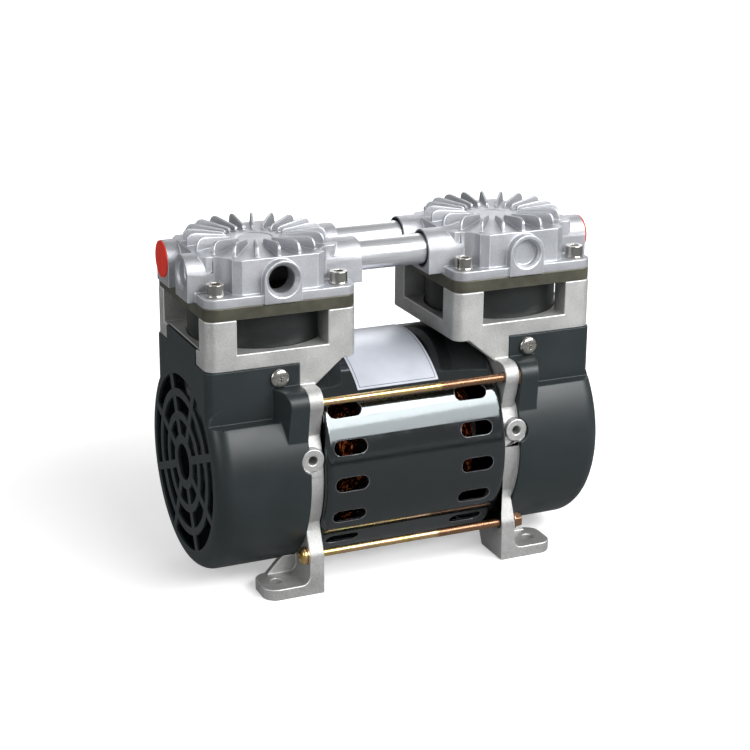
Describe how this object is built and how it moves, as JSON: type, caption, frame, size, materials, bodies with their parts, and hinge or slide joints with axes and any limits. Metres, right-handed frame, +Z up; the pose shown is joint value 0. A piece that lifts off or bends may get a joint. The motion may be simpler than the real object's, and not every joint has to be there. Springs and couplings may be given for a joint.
{
  "type": "oil-free air compressor",
  "caption": "Twin-head oil-free rocking-piston air compressor: an electric motor between two cast frames, each carrying a finned cylinder head and a fan cover.",
  "frame": {"origin": "middle of the four foot holes, on the plane that the feet stand on", "axes": "+X along the motor shaft to the right-hand head, -Y the front, +Z up"},
  "size_m": [0.247, 0.126, 0.2006],
  "materials": {
    "cast_frame": "as-cast, fine grain",
    "cast_head": "as-cast, fine grain",
    "shell_gloss_black": "gloss paint",
    "label_foil": "satin foil",
    "core_steel": "stacked laminations",
    "copper": "enamelled copper wire",
    "bearing_steel": "ground",
    "cast_steel": "machined casting",
    "cast_rod": "die-cast",
    "cup_ptfe": "filled PTFE",
    "sleeve_anodised": "hard anodised",
    "black_rubber": "moulded",
    "plate_dark": "dark anodised",
    "reed_steel": "spring strip",
    "nickel_screws": "bright nickel",
    "tube_aluminium": "drawn, bright",
    "cap_red": "moulded",
    "cover_plastic": "satin moulding",
    "fan_plastic": "moulded",
    "yellow_zinc": "yellow zinc plate"
  },
  "bodies": {
    "motor_and_frames": {"frame_left": "cast_frame", "frame_right": "cast_frame", "motor_shell": "shell_gloss_black", "label_plate": "label_foil", "stator_core": "core_steel", "stator_windings": "copper", "motor_bearing_left": "bearing_steel", "motor_bearing_right": "bearing_steel", "cylinder_left": "sleeve_anodised", "cylinder_right": "sleeve_anodised", "cylinder_seal_left": "black_rubber", "cylinder_seal_right": "black_rubber", "valve_plate_left": "plate_dark", "valve_plate_right": "plate_dark", "reed_valves_left": "reed_steel", "reed_valves_right": "reed_steel", "head_gasket_left": "black_rubber", "head_gasket_right": "black_rubber", "head_left": "cast_head", "head_right": "cast_head", "head_screws_left": "nickel_screws", "head_screws_right": "nickel_screws", "transfer_tube_front": "tube_aluminium", "transfer_tube_back": "tube_aluminium", "tube_seals_left": "black_rubber", "tube_seals_right": "black_rubber", "fan_cover_left": "cover_plastic", "fan_cover_right": "cover_plastic", "cover_screws_left": "nickel_screws", "cover_screws_right": "nickel_screws", "tie_rods": "yellow_zinc", "tie_rod_nuts": "yellow_zinc"},
    "rotating_shaft": {"shaft": "bearing_steel", "rotor": "core_steel", "eccentric_left": "cast_steel", "eccentric_right": "cast_steel", "fan_left": "fan_plastic", "fan_right": "fan_plastic"},
    "left_rod": {"con_rod_left": "cast_rod", "rod_bearing_left": "bearing_steel", "piston_cup_left": "cup_ptfe", "cup_retainer_left": "bearing_steel"},
    "right_rod": {"con_rod_right": "cast_rod", "rod_bearing_right": "bearing_steel", "piston_cup_right": "cup_ptfe", "cup_retainer_right": "bearing_steel"},
    "left_cap": {"port_cap_left": "cap_red"},
    "right_cap": {"port_cap_right": "cap_red"}
  },
  "joints": [
    {"name": "shaft_spin", "type": "hinge", "parent": "motor_and_frames", "child": "rotating_shaft", "pos_m": [0, 0, 0.0675], "axis": [1, 0, 0], "continuous": true},
    {"name": "left_rod_turn", "type": "hinge", "parent": "rotating_shaft", "child": "left_rod", "pos_m": [-0.0743, 0, 0.0715], "axis": [1, 0, 0], "continuous": true},
    {"name": "right_rod_turn", "type": "hinge", "parent": "rotating_shaft", "child": "right_rod", "pos_m": [0.0743, 0, 0.0635], "axis": [1, 0, 0], "continuous": true},
    {"name": "left_cap_pull", "type": "slide", "parent": "motor_and_frames", "child": "left_cap", "axis": [-1, 0, 0], "range_m": [0, 0.02]},
    {"name": "right_cap_pull", "type": "slide", "parent": "motor_and_frames", "child": "right_cap", "axis": [1, 0, 0], "range_m": [0, 0.02]}
  ],
  "couplings": [
    {"joint": "left_rod_turn", "follows": "shaft_spin", "ratio": -1},
    {"joint": "right_rod_turn", "follows": "shaft_spin", "ratio": -1}
  ]
}
